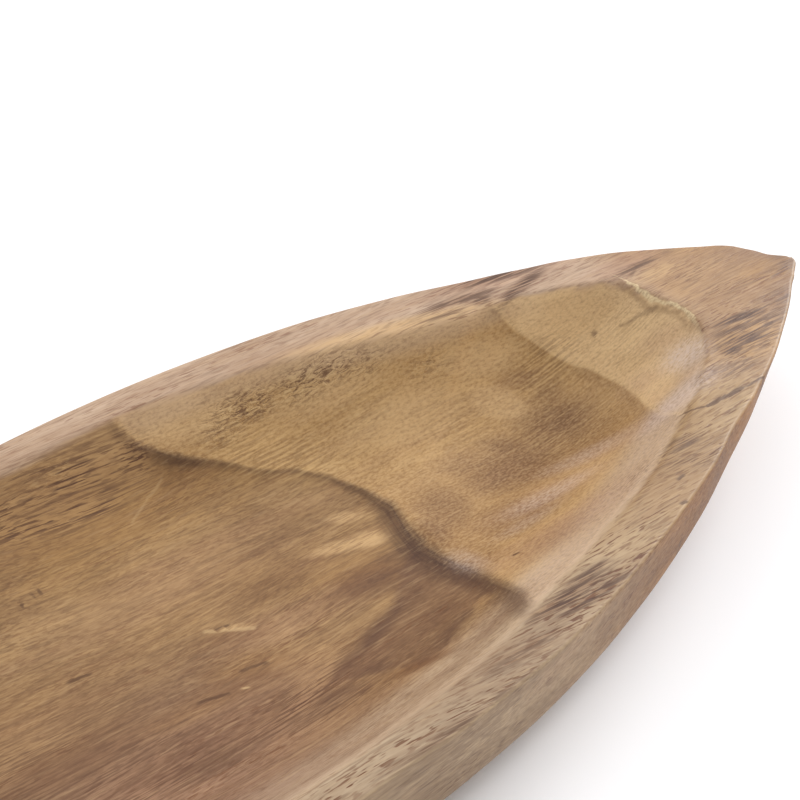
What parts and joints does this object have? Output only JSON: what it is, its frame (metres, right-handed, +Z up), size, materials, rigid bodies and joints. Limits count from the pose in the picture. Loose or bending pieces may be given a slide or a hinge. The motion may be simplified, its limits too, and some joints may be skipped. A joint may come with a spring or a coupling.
{
  "type": "decorative wooden plate",
  "caption": "Boat-shaped carved wooden plate with pointed ends, a flat rim, a shallow hollow and a boat-like underside.",
  "frame": {"origin": "on the table plane, under the middle of the plate", "axes": "+X along the length towards one point, +Y across the width, +Z up"},
  "size_m": [0.51, 0.172, 0.04],
  "materials": {
    "wood": "satin, sanded and lightly waxed"
  },
  "bodies": {
    "root": {"plate": "wood"}
  },
  "joints": []
}
